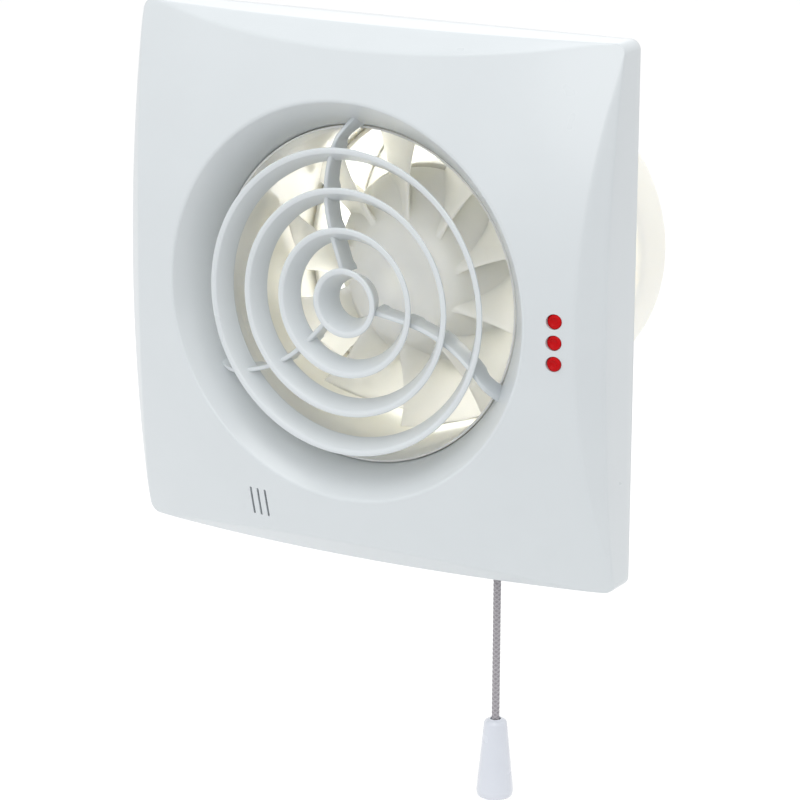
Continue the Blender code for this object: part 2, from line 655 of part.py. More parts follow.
# --------------------------------------------------------- pull switch, cord
def make_pull_switch():
    case = box("switch_housing", mm(32, -15.4, -73), mm(52, -3.2, -50), bevel=mm(0.6), segments=1)
    case = cut(case, box("cavity", mm(33.5, -19, -71.5), mm(50.5, -4.7, -51.5)))
    spout = cylinder("spout", (CORD_X, CORD_Y, 0), mm(3.4), -mm(76.3), -mm(72), axis="Z")
    pivot = cylinder("pivot", mm(36.2, 0, -55.5), mm(0.9), -mm(13.4), -mm(4.0), segments=12)
    case = join(case, spout, pivot)
    case = cut(case, cylinder("bore", (CORD_X, CORD_Y, 0), mm(2.2), -mm(78), -mm(70), axis="Z"))

    lid = box("switch_lid", mm(32, -16.9, -72.6), mm(52, -15.7, -50), bevel=mm(0.4), segments=1)

    centre = (CORD_X, CORD_Y, 0.0)
    plunger = turned("pull_plunger", [
        mm(0, -76.0), mm(1.8, -76.0), mm(1.8, -62.6), mm(4.4, -62.6), mm(4.4, -60.8),
        mm(1.2, -60.8), mm(1.2, -58.5), mm(0, -58.5)], axis="Z", centre=centre, steps=16)

    turns, wire_r, coil_r = 5, mm(0.3), mm(2.95)
    per_turn = 10
    low, high = mm(-71.1), mm(-62.95)
    points = []
    for i in range(turns * per_turn + 1):
        angle = 2.0 * math.pi * i / per_turn
        points.append((CORD_X + coil_r * math.cos(angle), CORD_Y + coil_r * math.sin(angle),
                       low + (high - low) * i / (turns * per_turn)))
    spring = wire("return_spring", points, wire_r, resolution=0)

    rocker = box("contact_rocker", mm(36.2, -12.5, -56.3), mm(46.6, -7.5, -54.7))
    rocker = join(rocker, box("nose", mm(40.0, -11.5, -57.9), mm(42.0, -8.5, -55.5)))
    rocker = join(rocker, cylinder("eye", mm(36.2, 0, -55.5), mm(2.2), -mm(13.0), -mm(7.0),
                                   segments=20))
    rocker = cut(rocker, cylinder("bore", mm(36.2, 0, -55.5), mm(1.2), -mm(15), -mm(5),
                                  segments=16))

    strip = box("switch_contact", mm(43.6, -12, -53.6), mm(50.0, -8, -53.0))
    strip = join(strip, box("leg", mm(49.3, -12, -62.0), mm(50.0, -8, -53.3)))
    return case, lid, plunger, spring, rocker, strip


def make_cord_and_handle():
    centre = (CORD_X, CORD_Y, 0.0)
    r = CORD_RADIUS
    bottom = HANDLE_TOP - mm(5.6)
    cord = turned("pull_cord", [
        (0.0, bottom), (r, bottom), (r, CORD_TOP - mm(0.7)), (mm(0.8), CORD_TOP - mm(0.2)),
        (0.0, CORD_TOP)], axis="Z", centre=centre, steps=12)
    top, low = HANDLE_TOP, HANDLE_BOTTOM
    handle = turned("pull_handle", [
        (0.0, low), (mm(3.6), low), (mm(4.8), low + mm(0.5)), (mm(5.35), low + mm(1.4)),
        (mm(5.4), low + mm(2.2)), (mm(3.5), top - mm(1.3)), (mm(3.2), top - mm(0.5)),
        (mm(2.5), top), (mm(1.5), top), (mm(1.5), top - mm(6.0)), (0.0, top - mm(6.0))],
        axis="Z", centre=centre, steps=20)
    return cord, handle


# ------------------------------------------------------------------ assembly
MATERIALS = {
    "cover_white": material("cover_white", (0.80, 0.84, 0.87), 0.28),
    "tray_white": material("tray_white", (0.80, 0.81, 0.80), 0.45),
    "duct_cream": material("duct_cream", (0.86, 0.83, 0.70), 0.35),
    "impeller_cream": material("impeller_cream", (0.86, 0.84, 0.74), 0.35),
    "lens_red": material("lens_red", (0.65, 0.01, 0.02), 0.2),
    "led_clear": material("led_clear", (0.85, 0.55, 0.55), 0.15),
    "steel": material("steel", (0.62, 0.62, 0.62), 0.3, 1.0),
    "lamination": material("lamination", (0.35, 0.36, 0.38), 0.45, 1.0),
    "copper": material("copper", (0.72, 0.38, 0.20), 0.4, 1.0),
    "brass": material("brass", (0.76, 0.60, 0.30), 0.35, 1.0),
    "black_plastic": material("black_plastic", (0.03, 0.03, 0.035), 0.5),
    "grey_plastic": material("grey_plastic", (0.45, 0.47, 0.49), 0.5),
    "blue_plastic": material("blue_plastic", (0.10, 0.25, 0.55), 0.4),
    "board_green": material("board_green", (0.02, 0.22, 0.09), 0.4),
    "rubber": material("rubber", (0.05, 0.05, 0.05), 0.8),
    "cord_grey": material("cord_grey", (0.45, 0.42, 0.45), 0.8),
    "handle_pearl": material("handle_pearl", (0.66, 0.70, 0.76), 0.3),
}


def dress(obj, slot):
    obj.data.materials.clear()
    obj.data.materials.append(MATERIALS[slot])
    obj.data.shade_smooth()
    obj.data.set_sharp_from_angle(angle=math.radians(30.0))


def mount_on(pivot_name, origin, pieces):
    """Hang pieces on an empty that sits on their joint."""
    empty = bpy.data.objects.new(pivot_name, None)
    PARTS.objects.link(empty)
    empty.location = origin
    shift = Matrix.Translation(-Vector(origin))
    for piece in pieces:
        piece.data.transform(shift)
        piece.parent = empty


def build():
    cover = make_front_cover()
    guide = make_light_guide()
    tray = make_base_tray()
    tube = make_duct_tube()
    bracket = make_motor_bracket()
    motor_fixed, motor_turning = make_motor()
    impeller = make_impeller()
    frame = make_flap_frame()
    pin = cylinder("hinge_pin", (0, FLAP_PIN_Y, 0), mm(1.0), -mm(46.2), mm(46.2), axis="Z",
                   segments=16)
    flap_right = make_flap("flap_right", 1, ((8, 18), (-18, -8)))
    flap_left = make_flap("flap_left", -1, ((20, 30), (-30, -20)))
    flap_spring = make_flap_spring()
    electronics, dials = make_electronics()
    case, lid, plunger, spring, rocker, strip = make_pull_switch()
    cord, handle = make_cord_and_handle()

    looks = {
        "cover_white": [cover],
        "tray_white": [tray],
        "duct_cream": [tube, bracket, frame, flap_left, flap_right],
        "impeller_cream": [impeller],
        "lens_red": [guide],
        "steel": [pin, spring, flap_spring],
        "grey_plastic": [case, lid],
        "black_plastic": [plunger, rocker],
        "brass": [strip],
        "cord_grey": [cord],
        "handle_pearl": [handle],
    }
    for slot, pieces in looks.items():
        for piece in pieces:
            dress(piece, slot)
    by_word = (
        ("coil", "copper"), ("core", "lamination"), ("can", "steel"), ("cap", "steel"),
        ("bearing", "steel"), ("motor_screw", "steel"), ("shaft", "steel"), ("clip", "steel"),
        ("board", "board_green"), ("relay", "blue_plastic"), ("led_", "led_clear"),
        ("_pot", "blue_plastic"), ("_dial", "brass"), ("humidity_sensor", "black_plastic"),
        ("terminal_block", "grey_plastic"), ("terminal_screw", "brass"),
        ("cable_clamp", "grey_plastic"), ("clamp_screw", "steel"), ("grommet", "rubber"),
    )
    for piece in motor_fixed + motor_turning + electronics + dials:
        slot = "steel"
        for word, choice in by_word:
            if word in piece.name:
                slot = choice
        if piece.name == "capacitor":
            slot = "black_plastic"
        dress(piece, slot)

    mount_on("joint_cover", (0.0, 0.0, 0.0), [cover, guide])
    mount_on("joint_impeller", (0.0, HUB_FRONT, 0.0), [impeller] + motor_turning)
    mount_on("joint_flap_left", (0.0, FLAP_PIN_Y, 0.0), [flap_left])
    mount_on("joint_flap_right", (0.0, FLAP_PIN_Y, 0.0), [flap_right])
    mount_on("joint_pull", (CORD_X, CORD_Y, mm(-60.8)), [plunger])
    mount_on("joint_rocker", mm(36.2, -10, -55.5), [rocker])
    mount_on("joint_cord", (CORD_X, CORD_Y, mm(-77.0)), [cord, handle])
    mount_on("joint_timer", mm(32.0, -13, 66.0), [dials[0]])
    mount_on("joint_humidity", mm(42.5, -13, 66.0), [dials[1]])


build()
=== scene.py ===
"""Looks of the bathroom extractor fan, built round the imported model."""
import json
import math

import bmesh
import bpy
from mathutils import Matrix, Vector


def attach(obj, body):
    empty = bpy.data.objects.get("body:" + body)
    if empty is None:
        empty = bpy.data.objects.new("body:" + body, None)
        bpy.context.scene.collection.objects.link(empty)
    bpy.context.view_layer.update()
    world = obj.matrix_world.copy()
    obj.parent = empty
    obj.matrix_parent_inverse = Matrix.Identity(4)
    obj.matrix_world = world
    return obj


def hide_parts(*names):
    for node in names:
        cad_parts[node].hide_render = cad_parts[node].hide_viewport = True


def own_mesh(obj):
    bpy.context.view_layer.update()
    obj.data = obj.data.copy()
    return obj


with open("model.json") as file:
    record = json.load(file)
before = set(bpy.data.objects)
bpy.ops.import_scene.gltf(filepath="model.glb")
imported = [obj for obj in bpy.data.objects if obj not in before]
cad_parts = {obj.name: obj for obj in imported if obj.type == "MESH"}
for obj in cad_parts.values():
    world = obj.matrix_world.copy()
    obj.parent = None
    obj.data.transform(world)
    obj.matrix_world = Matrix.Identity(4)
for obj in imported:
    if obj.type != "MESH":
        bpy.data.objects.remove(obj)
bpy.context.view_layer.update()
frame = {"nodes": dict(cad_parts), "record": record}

MM = 0.001


def mm(*values):
    """Millimetres to metres, for one number or several."""
    if len(values) == 1:
        return values[0] * MM
    return tuple(v * MM for v in values)


# ----------------------------------------------------------------- dimensions
# x to the right, y to the back, z up; the wall is the plane y = 0.
# The cover is worked out as a depth in front of the wall, so its y is minus the depth.
PANEL_HALF = mm(79.0)
PANEL_BACK = mm(1.2)
PANEL_CORNER = mm(3.0)
PANEL_WALL = mm(2.2)
DOME_PEAK = mm(36.5)                     # depth of the dome on the duct axis
DOME_FALL = 2.1                          # the dome drops by this times radius squared
RIM_CORNER = mm(11.0)                    # depth of the front edge at a corner
RIM_BULGE = mm(8.0)                      # what the middle of a side stands further out
CREASE_BLEND = mm(0.5)                   # softness of the crease between dome and facet
LIP_RADIUS = mm(58.5)                    # edge of the round recess

RING_RADII = [mm(r) for r in (10.2, 22.0, 33.5, 45.0)]
RING_STEPS = (96, 132, 168, 216)
RING_FRONT = -mm(28.7)
SPOKE_ANGLES = (104.3, 222.3, 346.0)     # where each spoke is 30 mm out
SPOKE_FRONT, SPOKE_BACK = -26.2, -19.2   # millimetres
SPOKE_INNER, SPOKE_FOOT = 8.4, 46.0      # radii in millimetres

PIP_X = mm(66.8)
PIP_Z = [mm(z) for z in (2.9, -3.15, -9.2)]
PIP_WINDOW = mm(2.22)
SLOT_X = [mm(x) for x in (-33.0, -30.4, -27.7)]
SLOT_HALF_WIDTH = mm(0.38)
SLOT_TOP, SLOT_BOTTOM = mm(-60.48), mm(-68.52)
CUT_FRONT, CUT_BACK = -mm(35.0), -mm(15.0)

BLADES = 10
FIRST_BLADE = 86.0
BLADE_TWIST = 30.0                       # degrees from front edge to back edge
TIP_RADIUS = mm(46.3)
BRACKET_VANES = 5
CUP_OUTER, CUP_INNER = 31.7, 29.9        # radii in millimetres

CORD_AT = mm(41.0, -10.0, 0.0)
CORD_TOP = mm(-76.5)
CORD_RADIUS = mm(1.15)
CORD_IN_HANDLE = mm(5.6)
BRAID_PITCH = mm(1.4)
BRAID_STRANDS = 4.0
HANDLE_TOP = mm(-123.6)
HANDLE_BOTTOM = mm(-147.9)
SPRING_LOW, SPRING_HIGH = mm(-71.1), mm(-62.95)


# ------------------------------------------------------------------ materials
def nodes_of(mat):
    """Node tree and main shader of a material."""
    mat.use_nodes = True
    tree = mat.node_tree
    return tree, tree.nodes["Principled BSDF"]


def add_node(tree, kind, **settings):
    """New node; settings go to its sockets where they match, else to its properties."""
    node = tree.nodes.new(kind)
    for key, value in settings.items():
        if key in node.inputs:
            node.inputs[key].default_value = value
        else:
            setattr(node, key, value)
    return node


def moulded(name, colour, roughness, tint=0.02, grain=0.06, grain_scale=2600.0, spread=0.05,
            coat=0.0, sheen=0.0, metallic=0.0, specular=0.5, subsurface=0.0, depth=0.004):
    """Moulded or machined surface: slow tone drift, fine grain bump, uneven gloss."""
    mat = bpy.data.materials.new(name)
    tree, shader = nodes_of(mat)
    coords = add_node(tree, "ShaderNodeTexCoord")
    drift = add_node(tree, "ShaderNodeTexNoise", Scale=38.0, Detail=4.0, Roughness=0.55)
    fine = add_node(tree, "ShaderNodeTexNoise", Scale=grain_scale, Detail=3.0, Roughness=0.6)
    tree.links.new(coords.outputs["Object"], drift.inputs["Vector"])
    tree.links.new(coords.outputs["Object"], fine.inputs["Vector"])

    ramp = add_node(tree, "ShaderNodeValToRGB")
    low = tuple(max(0.0, c * (1.0 - tint)) for c in colour)
    high = tuple(min(1.0, c * (1.0 + tint)) for c in colour)
    ramp.color_ramp.elements[0].color = (*low, 1.0)
    ramp.color_ramp.elements[0].position = 0.3
    ramp.color_ramp.elements[1].color = (*high, 1.0)
    ramp.color_ramp.elements[1].position = 0.7
    tree.links.new(drift.outputs["Fac"], ramp.inputs["Fac"])
    tree.links.new(ramp.outputs["Color"], shader.inputs["Base Color"])

    span = add_node(tree, "ShaderNodeMapRange")
    span.inputs["From Min"].default_value = 0.3
    span.inputs["From Max"].default_value = 0.7
    span.inputs["To Min"].default_value = max(0.02, roughness - spread)
    span.inputs["To Max"].default_value = min(1.0, roughness + spread)
    tree.links.new(drift.outputs["Fac"], span.inputs["Value"])
    tree.links.new(span.outputs["Result"], shader.inputs["Roughness"])

    bump = add_node(tree, "ShaderNodeBump", Strength=grain, Distance=0.00003)
    tree.links.new(fine.outputs["Fac"], bump.inputs["Height"])
    tree.links.new(bump.outputs["Normal"], shader.inputs["Normal"])

    shader.inputs["Metallic"].default_value = metallic
    shader.inputs["Coat Weight"].default_value = coat
    shader.inputs["Coat Roughness"].default_value = 0.12
    shader.inputs["Sheen Weight"].default_value = sheen
    shader.inputs["Specular IOR Level"].default_value = specular
    if subsurface > 0.0:
        shader.inputs["Subsurface Weight"].default_value = subsurface
        shader.inputs["Subsurface Scale"].default_value = depth
        shader.inputs["Subsurface Radius"].default_value = (1.0, 0.95, 0.85)
    return mat


def wound(name, colour, roughness, turns):
    """Fine parallel strands of metal across the fan's axis, as on a coil."""
    mat = bpy.data.materials.new(name)
    tree, shader = nodes_of(mat)
    coords = add_node(tree, "ShaderNodeTexCoord")
    wave = add_node(tree, "ShaderNodeTexWave", Scale=turns, Distortion=0.6, Detail=2.0)
    wave.bands_direction = "Y"
    wave.inputs["Detail Scale"].default_value = 3.0
    tree.links.new(coords.outputs["Object"], wave.inputs["Vector"])
    ramp = add_node(tree, "ShaderNodeValToRGB")
    ramp.color_ramp.elements[0].color = (*(c * 0.45 for c in colour), 1.0)
    ramp.color_ramp.elements[1].color = (*colour, 1.0)
    ramp.color_ramp.elements[1].position = 0.6
    tree.links.new(wave.outputs["Fac"], ramp.inputs["Fac"])
    tree.links.new(ramp.outputs["Color"], shader.inputs["Base Color"])
    bump = add_node(tree, "ShaderNodeBump", Strength=0.6, Distance=0.00006)
    tree.links.new(wave.outputs["Fac"], bump.inputs["Height"])
    tree.links.new(bump.outputs["Normal"], shader.inputs["Normal"])
    shader.inputs["Roughness"].default_value = roughness
    shader.inputs["Metallic"].default_value = 1.0
    return mat


MAT = {
    "cover_white": moulded("cover white plastic", (0.570, 0.605, 0.625), 0.30, tint=0.012,
                           grain=0.05, spread=0.03, coat=0.12),
    "tray_white": moulded("tray white plastic", (0.74, 0.755, 0.755), 0.46, tint=0.02, grain=0.22,
                          grain_scale=1500.0),
    "duct_cream": moulded("duct cream plastic", (0.78, 0.775, 0.73), 0.34, tint=0.02, grain=0.08,
                          subsurface=1.0, depth=0.003),
    "impeller_cream": moulded("impeller cream plastic", (0.95, 0.94, 0.84), 0.33, tint=0.02,
                              grain=0.08, subsurface=0.8, depth=0.006),
    "lens_red": moulded("lens red plastic", (0.44, 0.002, 0.004), 0.38, tint=0.08, grain=0.02,
                        specular=0.12),
    "led_clear": moulded("led tinted resin", (0.75, 0.42, 0.42), 0.12, tint=0.05, grain=0.02,
                         coat=0.6),
    "motor_steel": moulded("motor zinc steel", (0.58, 0.60, 0.61), 0.36, tint=0.08, grain=0.3,
                           grain_scale=900.0, metallic=1.0, spread=0.1),
    "lamination": wound("stator laminations", (0.26, 0.27, 0.29), 0.42, 260.0),
    "copper": wound("coil copper wire", (0.62, 0.24, 0.09), 0.30, 420.0),
    "bearing_steel": moulded("bearing ground steel", (0.70, 0.70, 0.71), 0.16, tint=0.04,
                             grain=0.1, metallic=1.0),
    "screw_steel": moulded("screw zinc steel", (0.62, 0.63, 0.64), 0.30, tint=0.08, grain=0.2,
                           metallic=1.0, spread=0.1),
    "shaft_steel": moulded("shaft ground steel", (0.66, 0.66, 0.67), 0.22, tint=0.04, grain=0.15,
                           metallic=1.0),
    "spring_steel": moulded("spring drawn steel", (0.52, 0.52, 0.53), 0.28, tint=0.1, grain=0.1,
                            metallic=1.0),
    "brass": moulded("plain brass", (0.72, 0.50, 0.20), 0.28, tint=0.1, grain=0.15, metallic=1.0,
                     spread=0.1),
    "board_green": moulded("board green mask", (0.012, 0.13, 0.045), 0.34, tint=0.18, grain=0.25,
                           grain_scale=700.0, coat=0.4),
    "blue_plastic": moulded("blue moulded plastic", (0.035, 0.12, 0.36), 0.35, tint=0.06,
                            grain=0.12),
    "black_plastic": moulded("black moulded plastic", (0.012, 0.012, 0.014), 0.42, tint=0.15,
                             grain=0.2),
    "dark_plastic": moulded("dark moulded plastic", (0.045, 0.045, 0.050), 0.45, tint=0.1,
                            grain=0.2),
    "grey_plastic": moulded("grey moulded plastic", (0.42, 0.44, 0.46), 0.45, tint=0.04,
                            grain=0.2),
    "rubber": moulded("soft black rubber", (0.018, 0.018, 0.018), 0.75, tint=0.2, grain=0.5,
                      grain_scale=1800.0, sheen=0.2),
    "handle_pearl": moulded("pearly grey plastic", (0.56, 0.585, 0.64), 0.26, tint=0.03,
                            grain=0.04, coat=0.4),
}


# -------------------------------------------------------------- mesh helpers
def mesh_object(name, verts, faces, slot_name, angle=32.0):
    """Object from points and faces, welded, turned outwards and smoothed."""
    mesh = bpy.data.meshes.new(name)
    mesh.from_pydata([tuple(v) for v in verts], [], faces)
    return finish_mesh(name, mesh, slot_name, angle)


def finish_mesh(name, mesh, slot_name, angle=32.0):
    """Weld a mesh, turn its faces outwards, smooth it and make it an object."""
    bm = bmesh.new()
    bm.from_mesh(mesh)
    bmesh.ops.remove_doubles(bm, verts=bm.verts, dist=1e-6)
    bmesh.ops.dissolve_degenerate(bm, edges=bm.edges, dist=1e-7)
    bmesh.ops.recalc_face_normals(bm, faces=bm.faces)
    bm.to_mesh(mesh)
    bm.free()
    mesh.materials.clear()
    if slot_name:
        mesh.materials.append(MAT[slot_name])
    mesh.shade_smooth()
    mesh.set_sharp_from_angle(angle=math.radians(angle))
    obj = bpy.data.objects.new(name, mesh)
    bpy.context.scene.collection.objects.link(obj)
    return obj


def applied(obj, slot_name, angle=32.0):
    """Apply an object's modifiers and finish its mesh again."""
    bpy.context.view_layer.update()
    graph = bpy.context.evaluated_depsgraph_get()
    mesh = bpy.data.meshes.new_from_object(obj.evaluated_get(graph))
    name = obj.name
    bpy.data.objects.remove(obj, do_unlink=True)
    return finish_mesh(name, mesh, slot_name, angle)


def boolean(obj, tools, operation, slot_name, angle=32.0):
    """Cut or join with each tool in turn; the tools are used up."""
    for tool in tools:
        mod = obj.modifiers.new(operation.title(), "BOOLEAN")
        mod.operation = operation
        mod.solver = "EXACT"
        mod.object = tool
        obj = applied(obj, slot_name, angle)
        bpy.data.objects.remove(tool, do_unlink=True)
    return obj


def rounded(points, radius, steps=4):
    """Round the corners of a closed outline; radius is one number or one per corner."""
    count = len(points)
    radii = [radius] * count if isinstance(radius, float) else list(radius)
    out = []
    for i, point in enumerate(points):
        here = Vector(point)
        if radii[i] <= 0.0:
            out.append(tuple(here))
            continue
        before = Vector(points[i - 1]) - here
        after = Vector(points[(i + 1) % count]) - here
        a, b = before.normalized(), after.normalized()
        turn = a.angle(b)
        if turn > math.radians(176.0):
            out.append(tuple(here))
            continue
        reach = min(radii[i] / math.tan(turn / 2.0), before.length * 0.49, after.length * 0.49)
        start, end = here + a * reach, here + b * reach
        for k in range(steps + 1):
            t = k / steps
            out.append(tuple(start * (1 - t) ** 2 + here * 2 * t * (1 - t) + end * t ** 2))
    return out


def lathe(name, profile, slot_name, axis="Y", centre=(0.0, 0.0, 0.0), steps=120, angle=32.0):
    """Closed (radius, along) profile turned round the Y or Z axis."""
    verts, faces = [], []
    count = len(profile)
    cx, cy, cz = centre
    for i in range(steps):
        a = 2.0 * math.pi * i / steps
        for r, h in profile:
            r = max(r, 0.0)
            if axis == "Y":
                verts.append((cx + r * math.cos(a), cy + h, cz + r * math.sin(a)))
            else:
                verts.append((cx + r * math.cos(a), cy + r * math.sin(a), cz + h))
    for i in range(steps):
        j = (i + 1) % steps
        for k in range(count):
            m = (k + 1) % count
            if profile[k][0] < 1e-7 and profile[m][0] < 1e-7:
                continue
            faces.append((i * count + k, i * count + m, j * count + m, j * count + k))
    return mesh_object(name, verts, faces, slot_name, angle)


def loft(name, sections, slot_name, angle=32.0):
    """Skin through equal-length closed sections, capped at both ends."""
    verts = [p for section in sections for p in section]
    count = len(sections[0])
    faces = []
    for s in range(len(sections) - 1):
        for i in range(count):
            j = (i + 1) % count
            faces.append((s * count + i, s * count + j, (s + 1) * count + j, (s + 1) * count + i))
    faces.append(tuple(range(count))[::-1])
    last = (len(sections) - 1) * count
    faces.append(tuple(range(last, last + count)))
    return mesh_object(name, verts, faces, slot_name, angle)


def box(name, low, high, slot_name, bevel=0.0, segments=3):
    """Box between two corners, with rounded edges."""
    bm = bmesh.new()
    bmesh.ops.create_cube(bm, size=1.0)
    size = [h - l for l, h in zip(low, high)]
    centre = [(h + l) / 2 for l, h in zip(low, high)]
    bmesh.ops.scale(bm, vec=size, verts=bm.verts)
    bmesh.ops.translate(bm, vec=centre, verts=bm.verts)
    if bevel > 0.0:
        bmesh.ops.bevel(bm, geom=list(bm.edges), offset=bevel, segments=segments, profile=0.5,
                        affect="EDGES")
    mesh = bpy.data.meshes.new(name)
    bm.to_mesh(mesh)
    bm.free()
    return finish_mesh(name, mesh, slot_name)


def merge(name, pieces, slot_name, angle=32.0):
    """Several meshes as one object."""
    bm = bmesh.new()
    for piece in pieces:
        bm.from_mesh(piece.data)
        bpy.data.objects.remove(piece, do_unlink=True)
    mesh = bpy.data.meshes.new(name)
    bm.to_mesh(mesh)
    bm.free()
    return finish_mesh(name, mesh, slot_name, angle)


def polar(radius, degrees, y):
    """Point at an angle round the fan's axis."""
    angle = math.radians(degrees)
    return Vector((radius * math.cos(angle), y, radius * math.sin(angle)))


def place(piece, body, slot_name, *replaced):
    """Ride on a body and stand for CAD nodes, which it hides; slot_name is not used."""
    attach(piece, body)
    if replaced:
        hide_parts(*replaced)
    return piece


# ---------------------------------------------------------------- front cover
def smooth_min(a, b, blend):
    """Smaller of two values, rounded off where they are within blend of each other."""
    h = max(blend - abs(a - b), 0.0) / blend
    return min(a, b) - h * h * blend * 0.25


def face_depth(x, z, inset=0.0, lower=0.0):
    """Depth of the front: a dome cut by four curved 45 degree edge facets."""
    depth = DOME_PEAK - DOME_FALL * (x * x + z * z) - lower
    for across, along in ((abs(x), z), (abs(z), x)):
        rim = RIM_CORNER + RIM_BULGE * (1.0 - (along / PANEL_HALF) ** 2)
        depth = smooth_min(depth, rim + PANEL_HALF - across - inset, CREASE_BLEND)
    return depth


def square_reach(angle, half, corner):
    """Distance from the axis to a square with round corners, along a direction."""
    c, s = abs(math.cos(angle)), abs(math.sin(angle))
    reach = half / max(c, s)
    x, z = reach * c, reach * s
    inner = half - corner
    if x > inner and z > inner:
        b = inner * (c + s)
        reach = b + math.sqrt(max(b * b - 2.0 * inner * inner + corner * corner, 0.0))
    return reach


def cover_angles():
    """Directions of the cover's sections, closer together at the four corners."""
    angles = [2.0 * math.pi * i / 288 for i in range(288)]
    for k in range(4):
        for i in range(-9, 10):
            angles.append(math.radians(45.0 + 90.0 * k + i * 0.14))
    return sorted(set(round(a, 7) for a in angles))


def bezier(points, steps):
    """Points on one Bezier curve of any degree."""
    out = []
    for i in range(steps + 1):
        t = i / steps
        row = [Vector(p) for p in points]
        while len(row) > 1:
            row = [p * (1.0 - t) + q * t for p, q in zip(row, row[1:])]
        out.append(tuple(row[0]))
    return out


def cover_profile(angle):
    """Closed (radius, depth) section of the cover in one direction."""
    c, s = math.cos(angle), math.sin(angle)
    edge = square_reach(angle, PANEL_HALF, PANEL_CORNER)
    inner_edge = square_reach(angle, PANEL_HALF - PANEL_WALL, mm(1.2))

    def depth(r):
        return face_depth(r * c, r * s)

    low, high = mm(60.0), edge
    for _ in range(30):
        mid = (low + high) / 2
        dome = DOME_PEAK - DOME_FALL * mid * mid
        if dome - face_depth(mid * c, mid * s) > mm(0.1249):
            high = mid
        else:
            low = mid
    crease = min(low, edge - mm(1.6))

    points = [mm(50.9, 11.0), mm(50.0, 11.1), mm(49.75, 11.5)]
    points += bezier([mm(49.75, 16.3), mm(50.0, 18.6), mm(53.1, 22.7), mm(57.35, 28.25)], 12)
    lip = DOME_PEAK - DOME_FALL * LIP_RADIUS * LIP_RADIUS
    points += [(mm(57.72), lip - mm(0.52)), (mm(58.0), lip - mm(0.2)), (mm(58.35), lip - mm(0.03)),
               (mm(58.8), lip - mm(0.06))]
    start = mm(59.4)
    for i in range(15):
        t = i / 14
        r = start + (crease - mm(0.9) - start) * t
        points.append((r, depth(r)))
    for d in (-0.6, -0.3, 0.0, 0.3, 0.6):
        points.append((crease + mm(d), depth(crease + mm(d))))
    last = edge - mm(0.75)
    for i in range(1, 5):
        r = crease + mm(0.6) + (last - crease - mm(0.6)) * i / 4
        points.append((r, depth(r)))
    rim = depth(edge)
    points += [(edge - mm(0.42), depth(edge - mm(0.42)) - mm(0.03)),
               (edge - mm(0.18), rim + mm(0.02)), (edge - mm(0.05), rim - mm(0.3)),
               (edge, rim - mm(0.75))]
    for i in range(1, 5):
        points.append((edge, rim - mm(0.75) + (PANEL_BACK + mm(0.3) - rim + mm(0.75)) * i / 4))
    points += [(edge - mm(0.1), PANEL_BACK + mm(0.08)), (edge - mm(0.35), PANEL_BACK),
               (inner_edge + mm(0.2), PANEL_BACK), (inner_edge, PANEL_BACK + mm(0.2))]

    def inner_depth(r):
        return face_depth(r * c, r * s, inset=PANEL_WALL * math.sqrt(2.0), lower=mm(2.3))

    top = inner_depth(inner_edge)
    for i in range(1, 4):
        points.append((inner_edge, PANEL_BACK + (top - PANEL_BACK) * i / 3))
    for i in range(1, 11):
        r = inner_edge + (mm(60.6) - inner_edge) * i / 10
        points.append((r, inner_depth(r)))
    points += [mm(58.0, 25.2), mm(56.2, 22.6), mm(54.6, 19.6), mm(53.4, 16.9), mm(52.7, 14.6),
               mm(52.1, 11.6), mm(51.7, 11.0)]
    return points


def make_cover():
    """Domed square shell with its recess, pip windows, slots and cord notch."""
    verts, faces = [], []
    angles = cover_angles()
    for angle in angles:
        for r, d in cover_profile(angle):
            verts.append((r * math.cos(angle), -d, r * math.sin(angle)))
    count = len(verts) // len(angles)
    for i in range(len(angles)):
        j = (i + 1) % len(angles)
        for k in range(count):
            m = (k + 1) % count
            faces.append((i * count + k, i * count + m, j * count + m, j * count + k))
    cover = mesh_object("panel_shell", verts, faces, "cover_white", 30.0)
    tools = []
    for z in PIP_Z:
        section = [(0.0, CUT_FRONT), (PIP_WINDOW, CUT_FRONT), (PIP_WINDOW, CUT_BACK),
                   (0.0, CUT_BACK)]
        tools.append(lathe("window", section, None, centre=(PIP_X, 0, z), steps=48))
    for x in SLOT_X:
        outline = []
        for i in range(17):
            a = math.pi * i / 16
            outline.append((x + SLOT_HALF_WIDTH * math.cos(a),
                            SLOT_TOP + SLOT_HALF_WIDTH * math.sin(a)))
        for i in range(17):
            a = math.pi + math.pi * i / 16
            outline.append((x + SLOT_HALF_WIDTH * math.cos(a),
                            SLOT_BOTTOM + SLOT_HALF_WIDTH * math.sin(a)))
        sections = [[(u, y, v) for u, v in outline] for y in (CUT_FRONT, CUT_BACK)]
        tools.append(loft("slot", sections, None))
    # open-ended notch in the lower edge, where the cord leaves
    notch = [(mm(38.2), mm(3)), *bezier([mm(38.2, -9.8), mm(38.2, -12.8), mm(41.0, -12.8)], 8),
             *bezier([mm(41.0, -12.8), mm(43.8, -12.8), mm(43.8, -9.8)], 8), (mm(43.8), mm(3))]
    tools.append(loft("notch", [[(u, v, z) for u, v in notch] for z in (-mm(81), -mm(75))], None))
    cutter = merge("cutters", tools, None)
    cover = boolean(cover, [cutter], "DIFFERENCE", "cover_white", 30.0)
    return place(cover, "cover", "cover_white", "front_cover")


